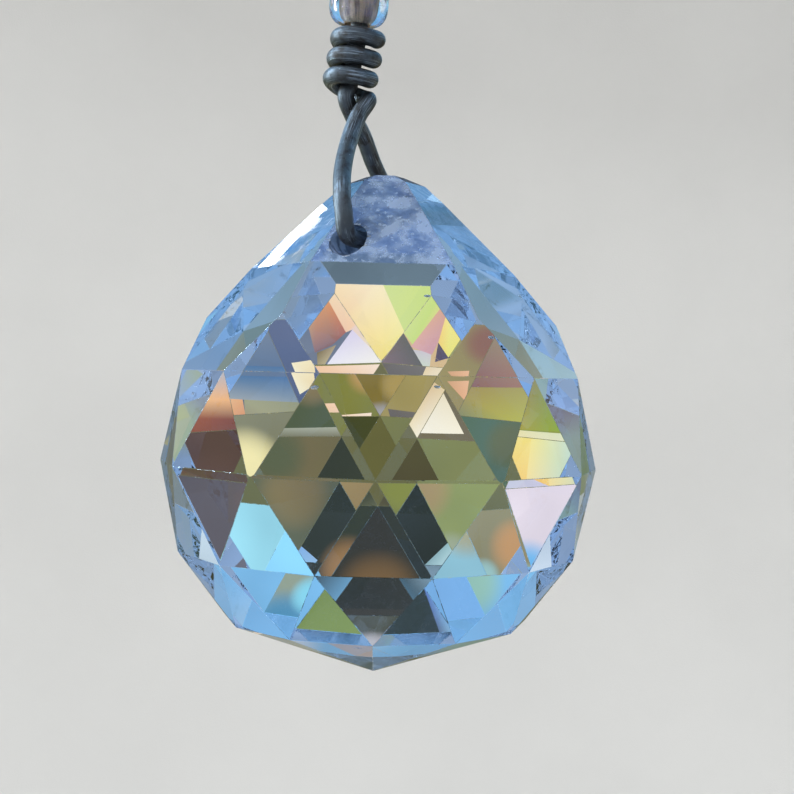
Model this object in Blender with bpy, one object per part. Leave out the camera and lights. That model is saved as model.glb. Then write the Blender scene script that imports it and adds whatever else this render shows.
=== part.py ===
"""Crystal suncatcher: a faceted crystal drop on a wrapped wire, with a round glass bead under a hanging eye.

Z is up and the front is -Y. The origin is the inside top of the eye, where the piece hangs.
Run it with blender --background --python part.py, or from Blender's text editor.
"""

import math

import bmesh
import bpy
from mathutils import Matrix, Vector
from mathutils.geometry import interpolate_bezier

MM = 0.001
GAP = 0.3 * MM  # left between pieces that touch

# Driving sizes, in metres.
BALL_RADIUS = 15.0 * MM
HANG_HEIGHT = 42.7 * MM  # from the centre of the ball up to the origin
CRYSTAL_LEAN = math.radians(1.4)  # the crystal hangs a little out of true, top to the right
CRYSTAL_TURN = math.radians(-0.6)  # and is turned a little on its own axis

WIRE_RADIUS = 0.6 * MM
WIRE_BEVEL_STEPS = 2  # gives the round wire eight sides
WIRE_STEP = 0.55 * MM
COIL_RADIUS = 1.27 * MM  # middle of the wrapped wire, round the stem
COIL_PITCH = 1.35 * MM
COIL_TILT = 0.3  # how far a turn drops for each unit that it runs to the right
LOWER_TURNS = 3.0
UPPER_TURNS = 2.2
LOWER_COIL_FOOT = Vector((-2.05, 0.0, 25.4)) * MM  # above the centre of the ball, as all of the wire is
COIL_DRIFT = 0.75 * MM  # each coil leans to the right by this over its height
POINTS_A_TURN = 12
POINTS_A_SPAN = 12  # read from the smooth curve between two of the route's points
BEND_RADIUS = 1.2 * MM  # where the wire turns up from the crystal's hole

HOLE_RADIUS = 1.1 * MM
HOLE_HEIGHT = 0.98  # in ball radii above the centre of the ball
HOLE_TURN = math.radians(-19.0)  # from straight ahead, towards the left
HOLE_SIDES = 24

BEAD_RADIUS = 2.02 * MM
BEAD_HEIGHT = 2.9 * MM
BEAD_BORE_RADIUS = 0.9 * MM
BEAD_FULLNESS = 2.6  # 2 is an ellipse, and more is squarer in section
BEAD_BOTTOM = 30.0 * MM  # above the centre of the ball
BEAD_LEAN = math.radians(5.0)  # the bead leans with the wraps that it sits on, top to the right
BEAD_X = -1.3 * MM
BEAD_SIDES = 24
BEAD_STEPS = 8  # rings from one mouth of the bore to the other

EYE_RADIUS = 2.2 * MM  # to the middle of the wire
EYE_ARC = (226.0, -36.0)  # degrees from +X towards +Z, from the stem round to the upper coil
EYE_POINTS = 15

# The rings of facet corners: height and radius in ball radii, corners, and the turn of the first corner.
FULL = 12
HALF = FULL // 2
STEP = math.tau / FULL
TIP_HEIGHT = -0.955
BASE_RING = (-0.705, 0.69)
LOW_RING = (-0.395, 0.905)
GIRDLE_RING = (0.0, 1.0)
HIGH_RING = (0.41, 0.905)
POINT_HEIGHT = 0.645  # where the small upper triangles end between the broad facets
CROWN_RING = (0.878, 0.602)
CAP_RINGS = ((1.195, 0.27), (1.27, 0.185), (1.308, 0.085))
TOP_HEIGHT = 1.318

# The broad facet at the back is ground a little steeper than the other five, and less deep.
BACK_SLOPE = math.radians(33.0)  # how far up it faces
BACK_STAND_OFF = 0.25 * MM  # outside the lower edge that it would share with the others
WELD = 0.002 * MM  # corners nearer than this are one


def clear_scene():
    for thing in list(bpy.data.objects):
        bpy.data.objects.remove(thing, do_unlink=True)


def make_material(name, color, metallic, roughness, transmission=0.0):
    material = bpy.data.materials.new(name)
    material.use_nodes = True
    shader = material.node_tree.nodes["Principled BSDF"]
    shader.inputs["Base Color"].default_value = (*color, 1.0)
    shader.inputs["Metallic"].default_value = metallic
    shader.inputs["Roughness"].default_value = roughness
    shader.inputs["Transmission Weight"].default_value = transmission
    return material


def link_object(name, data, material):
    thing = bpy.data.objects.new(name, data)
    bpy.context.scene.collection.objects.link(thing)
    data.materials.append(material)
    return thing


# ---------------------------------------------------------------- crystal


def ring_points(height, radius, corners, first_turn):
    """Corners of one ring, counted to the right from the front."""
    points = []
    for index in range(corners):
        turn = first_turn + index * math.tau / corners
        points.append(Vector((radius * math.sin(turn), -radius * math.cos(turn), height)) * BALL_RADIUS)
    return points


def point_radius():
    """Radius of the upper triangles' tips, which lie in the planes of the broad facets on each side."""
    low_flat = HIGH_RING[1] * math.cos(STEP / 2)
    high_flat = CROWN_RING[1] * math.cos(STEP)
    share = (POINT_HEIGHT - HIGH_RING[0]) / (CROWN_RING[0] - HIGH_RING[0])
    return (low_flat + (high_flat - low_flat) * share) / math.cos(STEP)


def add_ring(mesh, *ring):
    return [mesh.verts.new(point) for point in ring_points(*ring)]


def add_zigzag(mesh, lower, upper, upper_leads):
    """Two triangles for each step between rings that are half a step apart."""
    count = len(lower)
    for index in range(count):
        after = (index + 1) % count
        if upper_leads:
            mesh.faces.new((lower[index], lower[after], upper[index]))
            mesh.faces.new((upper[index], lower[after], upper[after]))
        else:
            mesh.faces.new((lower[index], upper[after], upper[index]))
            mesh.faces.new((lower[index], lower[after], upper[after]))


def add_fan(mesh, ring, point, upward):
    """Triangles from a ring to one point above or below it."""
    for index, corner in enumerate(ring):
        after = ring[(index + 1) % len(ring)]
        mesh.faces.new((corner, after, point) if upward else (after, corner, point))


def back_plane():
    """A spot on the broad facet at the back, and its outward normal."""
    normal = Vector((0.0, math.cos(BACK_SLOPE), math.sin(BACK_SLOPE)))
    lower_edge = Vector((0.0, HIGH_RING[1] * math.cos(STEP / 2), HIGH_RING[0])) * BALL_RADIUS
    return lower_edge + normal * BACK_STAND_OFF, normal


def cut_block(planes):
    """A block cut down plane by plane. Each plane is a spot on it and its outward normal."""
    block = bmesh.new()
    bmesh.ops.create_cube(block, size=4 * BALL_RADIUS)
    for spot, normal in planes:
        cut = bmesh.ops.bisect_plane(
            block,
            geom=block.verts[:] + block.edges[:] + block.faces[:],
            dist=WELD,
            plane_co=spot,
            plane_no=normal,
            clear_outer=True,
        )
        rim = [item for item in cut["geom_cut"] if isinstance(item, bmesh.types.BMEdge)]
        bmesh.ops.contextual_create(block, geom=rim)
    bmesh.ops.remove_doubles(block, verts=block.verts, dist=WELD)
    bmesh.ops.recalc_face_normals(block, faces=block.faces)
    return block


def regular_mesh():
    """The drop as it would be with six broad facets alike, and its broad facet at the back."""
    mesh = bmesh.new()
    base = add_ring(mesh, *BASE_RING, FULL, 0.0)
    low = add_ring(mesh, *LOW_RING, FULL, STEP / 2)
    girdle = add_ring(mesh, *GIRDLE_RING, FULL, 0.0)
    high = add_ring(mesh, *HIGH_RING, FULL, STEP / 2)
    tips = add_ring(mesh, POINT_HEIGHT, point_radius(), HALF, STEP)
    crown = add_ring(mesh, *CROWN_RING, HALF, STEP)
    bottom = mesh.verts.new((0.0, 0.0, TIP_HEIGHT * BALL_RADIUS))
    add_fan(mesh, base, bottom, upward=False)
    add_zigzag(mesh, base, low, upper_leads=True)
    add_zigzag(mesh, low, girdle, upper_leads=False)
    add_zigzag(mesh, girdle, high, upper_leads=True)
    broad = []
    for index in range(HALF):
        before = index - 1
        left = high[2 * index - 1]
        right = high[2 * index]
        far_right = high[2 * index + 1]
        mesh.faces.new((right, far_right, tips[index]))
        corners = (left, right, tips[index], crown[index], crown[before], tips[before])
        broad.append(mesh.faces.new(corners))
    below = crown
    for ring in CAP_RINGS:
        above = add_ring(mesh, *ring, HALF, STEP)
        for index in range(HALF):
            after = (index + 1) % HALF
            mesh.faces.new((below[index], below[after], above[after], above[index]))
        below = above
    top = mesh.verts.new((0.0, 0.0, TOP_HEIGHT * BALL_RADIUS))
    add_fan(mesh, below, top, upward=True)
    mesh.normal_update()
    return mesh, broad[HALF // 2]


def crystal_mesh():
    """The crystal before it is drilled: a block cut along the plane of each of its facets."""
    mesh, back = regular_mesh()
    planes = [(face.calc_center_median(), face.normal.copy()) for face in mesh.faces if face is not back]
    block = cut_block(planes + [back_plane()])
    data = bpy.data.meshes.new("crystal_drop")
    block.to_mesh(data)
    mesh.free()
    block.free()
    return data


def crystal_placement():
    """Leans and turns the crystal, and drops it to its height under the eye."""
    lean = Matrix.Rotation(CRYSTAL_LEAN, 4, "Y")
    turn = Matrix.Rotation(CRYSTAL_TURN, 4, "Z")
    return Matrix.Translation((0.0, 0.0, -HANG_HEIGHT)) @ lean @ turn


def hole_direction():
    """Out of the hole's front mouth, level in the crystal's own frame."""
    return Vector((math.sin(HOLE_TURN), -math.cos(HOLE_TURN), 0.0))


def make_hole_cutter():
    mesh = bmesh.new()
    bmesh.ops.create_cone(
        mesh,
        cap_ends=True,
        segments=HOLE_SIDES,
        radius1=HOLE_RADIUS,
        radius2=HOLE_RADIUS,
        depth=2 * BALL_RADIUS,
    )
    along = hole_direction().to_track_quat("Z", "X").to_matrix().to_4x4()
    shift = Matrix.Translation((0.0, 0.0, HOLE_HEIGHT * BALL_RADIUS))
    bmesh.ops.transform(mesh, matrix=shift @ along, verts=mesh.verts)
    data = bpy.data.meshes.new("hole_cutter")
    mesh.to_mesh(data)
    mesh.free()
    cutter = bpy.data.objects.new("hole_cutter", data)
    bpy.context.scene.collection.objects.link(cutter)
    cutter.matrix_world = crystal_placement()
    cutter.hide_render = True
    cutter.display_type = "WIRE"
    return cutter


def make_crystal():
    clear = make_material("clear_crystal", (0.97, 0.98, 1.0), 0.0, 0.0, transmission=1.0)
    crystal = link_object("crystal_drop", crystal_mesh(), clear)
    crystal.matrix_world = crystal_placement()
    hole = crystal.modifiers.new("drilled_hole", "BOOLEAN")
    hole.operation = "DIFFERENCE"
    hole.solver = "EXACT"
    hole.object = make_hole_cutter()
    return crystal


# ---------------------------------------------------------------- wire


def coil_points(foot, head, start_turn, turns):
    """A right-handed coil that climbs round the line from foot to head."""
    count = round(turns * POINTS_A_TURN)
    points = []
    for index in range(count + 1):
        turn = start_turn + math.tau * turns * index / count
        across = COIL_RADIUS * math.cos(turn)
        offset = Vector((across, COIL_RADIUS * math.sin(turn), -COIL_TILT * across))
        points.append(foot.lerp(head, index / count) + offset)
    return points


def eye_points():
    """The eye's arc in the XZ plane, its inside top at the origin's height."""
    centre = Vector((0.0, 0.0, HANG_HEIGHT + WIRE_RADIUS - EYE_RADIUS))
    start, end = EYE_ARC
    points = []
    for index in range(EYE_POINTS):
        angle = math.radians(start + (end - start) * index / (EYE_POINTS - 1))
        points.append(centre + Vector((math.cos(angle), 0.0, math.sin(angle))) * EYE_RADIUS)
    return points


def millimetres(*rows):
    return [Vector(row) * MM for row in rows]


def hole_points():
    """The wire's way through the hole, near its top, with a round bend up outside each mouth."""
    mouth = 6.4 * MM  # from the crystal's axis out to where the bend starts
    rest = HOLE_RADIUS - WIRE_RADIUS - GAP
    half = [(mouth / 2, 0.0)]
    for degrees in (0, 30, 60, 90):
        angle = math.radians(degrees)
        half.append((mouth + BEND_RADIUS * math.sin(angle), BEND_RADIUS * (1.0 - math.cos(angle))))
    section = half[::-1] + [(-out, up) for out, up in half]
    lean = Matrix.Rotation(CRYSTAL_LEAN, 3, "Y") @ Matrix.Rotation(CRYSTAL_TURN, 3, "Z")
    points = []
    for out, up in section:
        height = HOLE_HEIGHT * BALL_RADIUS + rest + up
        points.append(lean @ (hole_direction() * out + Vector((0.0, 0.0, height))))
    return points


def wire_route():
    """Points from the tail of the lower coil to the tail of the upper one."""
    lower_foot = LOWER_COIL_FOOT
    lower_head = lower_foot + Vector((COIL_DRIFT, 0.0, COIL_PITCH * LOWER_TURNS))
    lower_coil = coil_points(lower_foot, lower_head, math.radians(20.0), LOWER_TURNS)
    front_strand = millimetres(
        (-0.68, -0.25, 24.8),
        (-1.3, -0.75, 23.75),
        (-1.95, -2.3, 21.7),
        (-2.3, -4.6, 19.5),
        (-2.3, -6.7, 17.5),
    )
    back_strand = millimetres(
        (2.1, 6.9, 17.4),
        (0.6, 5.6, 19.5),
        (-0.35, 3.9, 21.2),
        (-1.05, 2.0, 22.8),
        (-1.8, 0.65, 24.05),
        (-2.2, -0.05, 25.1),
    )
    upper_foot = Vector((-1.12 * MM, 0.0, BEAD_BOTTOM + BEAD_HEIGHT + 2 * WIRE_RADIUS))
    upper_head = upper_foot + Vector((COIL_DRIFT, 0.0, COIL_PITCH * UPPER_TURNS))
    upper_coil = coil_points(upper_foot, upper_head, math.radians(228.0), UPPER_TURNS)
    stem = [lower_foot.lerp(lower_head, share) for share in (0.12, 0.4, 0.7, 1.0)]
    stem.append(Vector((BEAD_X, 0.0, BEAD_BOTTOM + BEAD_HEIGHT / 2)))
    stem += [upper_foot.lerp(upper_head, share) for share in (-0.1, 0.3, 0.7, 1.15)]
    route = lower_coil[::-1] + front_strand + hole_points() + back_strand + stem
    return route + eye_points() + upper_coil[::-1]


def smooth_route(points, spacing):
    """Reads points at an even spacing from a smooth curve through the given ones."""
    dense = [points[0]]
    last = len(points) - 1
    for index in range(last):
        before, start = points[max(index - 1, 0)], points[index]
        end, after = points[index + 1], points[min(index + 2, last)]
        reach = (end - start).length / 3
        leave = (end - before).normalized() * reach
        arrive = (after - start).normalized() * reach
        span = interpolate_bezier(start, start + leave, end - arrive, end, POINTS_A_SPAN + 1)
        dense += span[1:]
    lengths = [0.0]
    for start, end in zip(dense, dense[1:]):
        lengths.append(lengths[-1] + (end - start).length)
    count = round(lengths[-1] / spacing)
    even = []
    place = 0
    for index in range(count + 1):
        wanted = lengths[-1] * index / count
        while place < len(dense) - 2 and lengths[place + 1] < wanted:
            place += 1
        share = (wanted - lengths[place]) / (lengths[place + 1] - lengths[place])
        even.append(dense[place].lerp(dense[place + 1], share))
    return even


def make_wire():
    dark = make_material("dark_wire", (0.10, 0.115, 0.14), 1.0, 0.4)
    drop = Vector((0.0, 0.0, HANG_HEIGHT))
    points = [point - drop for point in smooth_route(wire_route(), WIRE_STEP)]
    curve = bpy.data.curves.new("hanging_wire", "CURVE")
    curve.dimensions = "3D"
    curve.bevel_depth = WIRE_RADIUS
    curve.bevel_resolution = WIRE_BEVEL_STEPS
    curve.use_fill_caps = True
    spline = curve.splines.new("POLY")
    spline.points.add(len(points) - 1)
    for place, point in zip(spline.points, points):
        place.co = (*point, 1.0)
    return link_object("hanging_wire", curve, dark)


# ---------------------------------------------------------------- bead


def bead_profile():
    """Half section of the bead: its round outside from one mouth of the bore to the other."""
    wall = BEAD_RADIUS - BEAD_BORE_RADIUS
    points = []
    for index in range(BEAD_STEPS + 1):
        angle = math.pi * (index / BEAD_STEPS - 0.5)
        out = abs(math.cos(angle)) ** (2 / BEAD_FULLNESS)
        up = math.copysign(abs(math.sin(angle)) ** (2 / BEAD_FULLNESS), angle)
        points.append((BEAD_BORE_RADIUS + wall * out, BEAD_HEIGHT / 2 * up))
    return points


def make_bead():
    mesh = bmesh.new()
    rings = []
    for radius, height in bead_profile():
        ring = []
        for index in range(BEAD_SIDES):
            turn = index * math.tau / BEAD_SIDES
            ring.append(mesh.verts.new((radius * math.cos(turn), radius * math.sin(turn), height)))
        rings.append(ring)
    for lower, upper in zip(rings, rings[1:] + rings[:1]):
        for index in range(BEAD_SIDES):
            after = (index + 1) % BEAD_SIDES
            mesh.faces.new((lower[index], lower[after], upper[after], upper[index]))
    data = bpy.data.meshes.new("glass_bead")
    mesh.to_mesh(data)
    mesh.free()
    data.shade_smooth()
    data.set_sharp_from_angle(angle=math.radians(40.0))
    glass = make_material("bead_glass", (0.9, 0.94, 1.0), 0.0, 0.02, transmission=1.0)
    bead = link_object("glass_bead", data, glass)
    bead.location = (BEAD_X, 0.0, BEAD_BOTTOM + BEAD_HEIGHT / 2 - HANG_HEIGHT)
    bead.rotation_euler.y = BEAD_LEAN
    return bead


def main():
    clear_scene()
    make_crystal()
    make_wire()
    make_bead()


main()
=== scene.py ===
"""Crystal suncatcher: the looks of a faceted crystal drop on a dark wrapped wire, with a glass bead above it.

Every size is in metres, Z is up and the front is -Y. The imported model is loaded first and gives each
piece its place; the operators below build the finished pieces around it, and the stage they hang in.
"""

import math
from typing import NamedTuple

import bmesh
import bpy
from bpy.props import FloatProperty, FloatVectorProperty, IntProperty, PointerProperty
from mathutils import Matrix, Quaternion, Vector, noise
from mathutils.geometry import interpolate_bezier


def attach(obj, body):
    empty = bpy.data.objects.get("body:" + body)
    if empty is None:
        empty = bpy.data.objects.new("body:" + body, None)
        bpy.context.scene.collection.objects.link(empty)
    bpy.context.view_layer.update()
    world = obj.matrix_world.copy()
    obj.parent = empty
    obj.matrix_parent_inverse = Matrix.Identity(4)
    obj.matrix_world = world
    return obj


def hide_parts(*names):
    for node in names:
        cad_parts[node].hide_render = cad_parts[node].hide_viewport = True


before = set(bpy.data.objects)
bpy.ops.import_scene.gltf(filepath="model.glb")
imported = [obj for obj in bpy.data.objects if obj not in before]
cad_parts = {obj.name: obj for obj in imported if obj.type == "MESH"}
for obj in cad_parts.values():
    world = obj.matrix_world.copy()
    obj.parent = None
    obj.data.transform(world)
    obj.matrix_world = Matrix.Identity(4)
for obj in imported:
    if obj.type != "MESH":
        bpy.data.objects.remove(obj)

bl_info = {
    "name": "Crystal Suncatcher",
    "version": (1, 0, 0),
    "blender": (4, 5, 0),
    "location": "3D View > Sidebar > Suncatcher",
    "description": "Builds a faceted crystal drop on a wrapped wire, with a glass bead, in a pale studio",
    "category": "Add Mesh",
}

MM = 0.001
SHARP_GLASS = math.radians(30.0)  # an edge that turns by more than this is sharp
SHARP_ROUND = math.radians(50.0)  # and the same on the wire and the bead
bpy.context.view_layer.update()  # before any piece is added

BALL_RADIUS = 15.0 * MM
HANG_HEIGHT = 42.7 * MM  # from the centre of the ball up to the origin
BALL_CENTRE = Vector((0.0, 0.0, -HANG_HEIGHT))


# ---------------------------------------------------------------- settings

COLOR = {"subtype": "COLOR", "size": 3, "min": 0.0, "max": 1.0}


class CrystalSettings(bpy.types.PropertyGroup):
    """Sizes and colours of the crystal drop."""

    tint: FloatVectorProperty(
        name="Tint",
        description="Colour that the clear crystal gives to what is seen through it",
        default=(0.985, 0.992, 1.0),
        **COLOR,
    )
    ior: FloatProperty(
        name="Index of refraction",
        description="How strongly the crystal bends light",
        min=1.3,
        max=2.5,
        default=1.55,
    )
    haze_foot: FloatProperty(
        name="Haze foot",
        description="Height where the rubbed haze of the crown starts, with the origin at the hanging eye",
        unit="LENGTH",
        default=-32.6 * MM,
    )
    edge_width: FloatProperty(
        name="Edge width",
        description="Width of the polished flat along each facet edge",
        unit="LENGTH",
        min=0.0,
        default=0.045 * MM,
    )
    lean: FloatProperty(
        name="Lean",
        description="How far the crystal hangs out of true, its top to the right",
        subtype="ANGLE",
        default=math.radians(1.4),
    )
    turn: FloatProperty(
        name="Turn",
        description="How far the crystal is turned on its own axis",
        subtype="ANGLE",
        default=math.radians(-0.6),
    )
    hole_radius: FloatProperty(
        name="Hole radius",
        description="Radius of the drilled hole that carries the wire",
        unit="LENGTH",
        min=0.0,
        default=1.1 * MM,
    )
    hole_height: FloatProperty(
        name="Hole height",
        description="Height of the hole over the centre of the ball, in ball radii",
        default=0.98,
    )
    hole_turn: FloatProperty(
        name="Hole direction",
        description="Way the hole's front mouth faces, from straight ahead towards the right",
        subtype="ANGLE",
        default=math.radians(-19.0),
    )
    # painted reflection: this navy is not a colour of the glass; it stands in for the dark surroundings seen
    # through the rubbed-clear patches of the crown facets
    rubbed: FloatVectorProperty(
        name="Rubbed",
        description="Colour of the facets round the hole where they are rubbed clear",
        default=(0.15, 0.24, 0.46),
        **COLOR,
    )
    # painted reflection: this sky blue stands in for the sky seen in the clouded patches of the crown facets;
    # the clouding itself is real dust
    dust_and_painted_sky: FloatVectorProperty(
        name="Dusty",
        description="Colour of the facets round the hole where they are clouded",
        default=(0.50, 0.63, 0.86),
        **COLOR,
    )
    # painted reflection: the blue in this grey stands in for the sky seen in the ground glass of the hole
    bore_grey_and_painted_sky: FloatVectorProperty(
        name="Ground glass",
        description="Colour of the rough glass inside the drilled hole",
        default=(0.30, 0.38, 0.56),
        **COLOR,
    )
    bore_shadow: FloatVectorProperty(
        name="Ground glass shadow",
        description="Colour of the darker blotches in the drilled hole",
        default=(0.045, 0.06, 0.11),
        **COLOR,
    )


class WireSettings(bpy.types.PropertyGroup):
    """Sizes and colours of the hanging wire."""

    radius: FloatProperty(
        name="Wire radius",
        description="Half the thickness of the wire",
        unit="LENGTH",
        min=0.0,
        default=0.585 * MM,
    )
    sides: IntProperty(
        name="Sides",
        description="Sides of the round wire",
        min=8,
        default=20,
    )
    metal: FloatVectorProperty(
        name="Metal",
        description="Colour of the blackened steel",
        default=(0.145, 0.137, 0.126),
        **COLOR,
    )
    stain: FloatVectorProperty(
        name="Stain",
        description="Colour of the brown stains on the metal",
        default=(0.085, 0.062, 0.045),
        **COLOR,
    )
    worn: FloatVectorProperty(
        name="Worn metal",
        description="Colour where the black has rubbed off",
        default=(0.60, 0.61, 0.60),
        **COLOR,
    )


class BeadSettings(bpy.types.PropertyGroup):
    """Sizes and colours of the glass bead."""

    radius: FloatProperty(
        name="Bead radius",
        description="Half the width of the bead",
        unit="LENGTH",
        min=0.0,
        default=2.02 * MM,
    )
    height: FloatProperty(
        name="Bead height",
        description="Height of the bead along its bore",
        unit="LENGTH",
        min=0.0,
        default=2.9 * MM,
    )
    bore_radius: FloatProperty(
        name="Bore radius",
        description="Radius of the hole through the bead",
        unit="LENGTH",
        min=0.0,
        default=0.9 * MM,
    )
    glass: FloatVectorProperty(
        name="Glass",
        description="Colour of the bead's glass",
        default=(0.93, 0.96, 1.0),
        **COLOR,
    )
    bore: FloatVectorProperty(
        name="Bore",
        description="Colour of the bore's rough wall",
        default=(1.0, 0.62, 0.32),
        **COLOR,
    )
    bore_shadow: FloatVectorProperty(
        name="Bore shadow",
        description="Colour of the dark streaks in the bore",
        default=(0.36, 0.16, 0.06),
        **COLOR,
    )


class StageSettings(bpy.types.PropertyGroup):
    """The room, the lights and the camera."""

    paper: FloatVectorProperty(
        name="Paper",
        description="Colour of the pale floor and backdrop",
        default=(0.66, 0.655, 0.64),
        **COLOR,
    )
    drop: FloatProperty(
        name="Drop",
        description="How far the floor lies under the centre of the ball",
        unit="LENGTH",
        default=0.22,
    )
    room_radius: FloatProperty(
        name="Room radius",
        description="Distance from the suncatcher to the backdrop all round",
        unit="LENGTH",
        default=0.60,
    )
    lens: FloatProperty(
        name="Lens",
        description="Focal length on a 36 mm sensor",
        unit="CAMERA",
        default=63.0,
    )
    camera_distance: FloatProperty(
        name="Camera distance",
        description="From the camera to the centre of the ball",
        unit="LENGTH",
        default=95.7 * MM,
    )
    camera_elevation: FloatProperty(
        name="Camera elevation",
        description="How far the camera stands above the level of the ball's centre",
        subtype="ANGLE",
        default=math.radians(3.78),
    )


# ---------------------------------------------------------------- shared tools


def link_piece(name, data, *materials):
    piece = bpy.data.objects.new(name, data)
    bpy.context.scene.collection.objects.link(piece)
    for material in materials:
        data.materials.append(material)
    return piece


def mesh_from(name, builder):
    data = bpy.data.meshes.new(name)
    builder.to_mesh(data)
    builder.free()
    return data


def add_node(tree, kind, inputs=None, **settings):
    node = tree.nodes.new(kind)
    for key, value in settings.items():
        setattr(node, key, value)
    for key, value in (inputs or {}).items():
        if isinstance(value, bpy.types.NodeSocket):
            tree.links.new(value, node.inputs[key])
        else:
            node.inputs[key].default_value = value
    return node


def new_material(name, **values):
    """A material with one Principled shader, whose plain values are given by socket name."""
    material = bpy.data.materials.new(name)
    material.use_nodes = True
    shader = material.node_tree.nodes["Principled BSDF"]
    for key, value in values.items():
        shader.inputs[key.replace("_", " ")].default_value = value
    return material, material.node_tree, shader


# ---------------------------------------------------------------- effects that materials share


def in_millimetres(tree):
    """The place on the piece, in millimetres."""
    place = add_node(tree, "ShaderNodeTexCoord").outputs["Object"]
    scaled = add_node(tree, "ShaderNodeVectorMath", {0: place, "Scale": 1.0 / MM}, operation="SCALE")
    return scaled.outputs["Vector"]


def calculate(tree, operation, *values):
    return add_node(tree, "ShaderNodeMath", dict(enumerate(values)), operation=operation).outputs["Value"]


def soft_step(tree, value, low, high):
    """0 below low, 1 above high and a smooth rise between them."""
    inputs = {"Value": value, "From Min": low, "From Max": high}
    return add_node(tree, "ShaderNodeMapRange", inputs, interpolation_type="SMOOTHSTEP").outputs["Result"]


def blend(tree, share, first, second):
    """The colour between two others."""
    node = add_node(tree, "ShaderNodeMix", {0: share, 6: first, 7: second}, data_type="RGBA")
    return node.outputs[2]


def start_effect(name, **inputs):
    """An empty effect: a node group with a place, some numbers in, and one mask out."""
    group = bpy.data.node_groups.new(name, "ShaderNodeTree")
    group.interface.new_socket("Place", in_out="INPUT", socket_type="NodeSocketVector")
    for key, value in inputs.items():
        socket = group.interface.new_socket(key, in_out="INPUT", socket_type="NodeSocketFloat")
        socket.default_value = value
    group.interface.new_socket("Mask", in_out="OUTPUT", socket_type="NodeSocketFloat")
    given = group.nodes.new("NodeGroupInput").outputs
    mask = group.nodes.new("NodeGroupOutput").inputs["Mask"]
    return group, given, mask


def make_mottle():
    """Cloudy patches: haze, stains and uneven tone."""
    group, given, mask = start_effect("Mottle", Size=1.0, Low=0.4, High=0.6)
    scale = calculate(group, "DIVIDE", 1.0, given["Size"])
    inputs = {"Vector": given["Place"], "Scale": scale, "Detail": 3.0, "Roughness": 0.6}
    cloud = add_node(group, "ShaderNodeTexNoise", inputs)
    step = soft_step(group, cloud.outputs["Fac"], given["Low"], given["High"])
    group.links.new(step, mask)


def make_hairlines():
    """Fine wandering scratches, broken here and there."""
    group, given, mask = start_effect("Hairlines", Size=3.0, Width=0.004)
    scale = calculate(group, "DIVIDE", 1.0, given["Size"])
    stretched = add_node(
        group,
        "ShaderNodeMapping",
        {"Vector": given["Place"], "Rotation": (0.6, 0.9, 0.3), "Scale": (1.0, 0.35, 2.2)},
    )
    inputs = {"Vector": stretched.outputs["Vector"], "Scale": scale, "Detail": 1.0}
    level = add_node(group, "ShaderNodeTexNoise", inputs).outputs["Fac"]
    away = calculate(group, "ABSOLUTE", calculate(group, "SUBTRACT", level, 0.5))
    line = calculate(group, "SUBTRACT", 1.0, soft_step(group, away, 0.0, given["Width"]))
    gaps = {"Vector": given["Place"], "Scale": calculate(group, "MULTIPLY", scale, 2.5), "Detail": 0.0}
    broken = soft_step(group, add_node(group, "ShaderNodeTexNoise", gaps).outputs["Fac"], 0.50, 0.64)
    group.links.new(calculate(group, "MULTIPLY", line, broken), mask)


def make_nicks():
    """Small round nicks and specks, each of its own size."""
    group, given, mask = start_effect("Nicks", Spacing=2.0, Radius=0.05)
    scale = calculate(group, "DIVIDE", 1.0, given["Spacing"])
    inputs = {"Vector": given["Place"], "Scale": scale}
    cells = add_node(group, "ShaderNodeTexVoronoi", inputs)
    luck = add_node(group, "ShaderNodeSeparateColor", {"Color": cells.outputs["Color"]}).outputs["Red"]
    reach = calculate(group, "MULTIPLY", calculate(group, "MULTIPLY", given["Radius"], scale), luck)
    inner = calculate(group, "MULTIPLY", reach, 0.4)
    nick = calculate(group, "SUBTRACT", 1.0, soft_step(group, cells.outputs["Distance"], inner, reach))
    group.links.new(nick, mask)


EFFECTS = {"Mottle": make_mottle, "Hairlines": make_hairlines, "Nicks": make_nicks}


def effect(tree, name, place, **values):
    """Adds a shared effect to a material, and builds it the first time that it is asked for."""
    if name not in bpy.data.node_groups:
        EFFECTS[name]()
    node = tree.nodes.new("ShaderNodeGroup")
    node.node_tree = bpy.data.node_groups[name]
    tree.links.new(place, node.inputs["Place"])
    for key, value in values.items():
        node.inputs[key].default_value = value
    return node.outputs["Mask"]


def emboss(tree, shader, height, depth):
    """Raises the surface by depth, in metres, where height is 1."""
    bump = add_node(tree, "ShaderNodeBump", {"Height": height, "Distance": depth, "Strength": 1.0})
    tree.links.new(bump.outputs["Normal"], shader.inputs["Normal"])


# ---------------------------------------------------------------- crystal

CLEAR, EDGE, GROUND, CHIPPED, CLOUDY = range(5)  # the crystal's material slots
WELD = 0.002 * MM  # corners nearer than this are one
SAME_FACET = math.radians(0.6)  # faces that turn from each other by less than this are one facet
DRILL_LENGTH = 1.2 * BALL_RADIUS
DRILL_SIDES = 48
DRILL_RINGS = 72
DRILL_WANDER = 0.012  # how uneven the hole's radius is, for each unit of it
MOUTH_CHIPS = 7  # round each mouth of the hole
FLAKE_SHAPE = (1.35, 0.8, 0.6)  # how wide, deep and tall a chip is, for each unit of its radius
CROWN_RISE = 0.63  # how far up a crown facet faces, at least: the two drilled facets and the cap do
CROWN_HALF_WIDTH = 0.3  # and how far it may face sideways
CHIPS = (
    # azimuth and elevation of a corner or edge as seen from the ball's centre, radius in mm
    (-164, 21.5, 0.20),
    (165, 21.5, 0.16),
    (-172, -50, 0.20),
    (-137, -26, 0.17),
    (-118, 20, 0.18),
    (75, -22, 0.22),
    (15, 24, 0.20),
    (-45, -50, 0.22),
)


def crystal_placement(settings):
    lean = Matrix.Rotation(settings.lean, 4, "Y")
    turn = Matrix.Rotation(settings.turn, 4, "Z")
    return Matrix.Translation(BALL_CENTRE) @ lean @ turn


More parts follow.
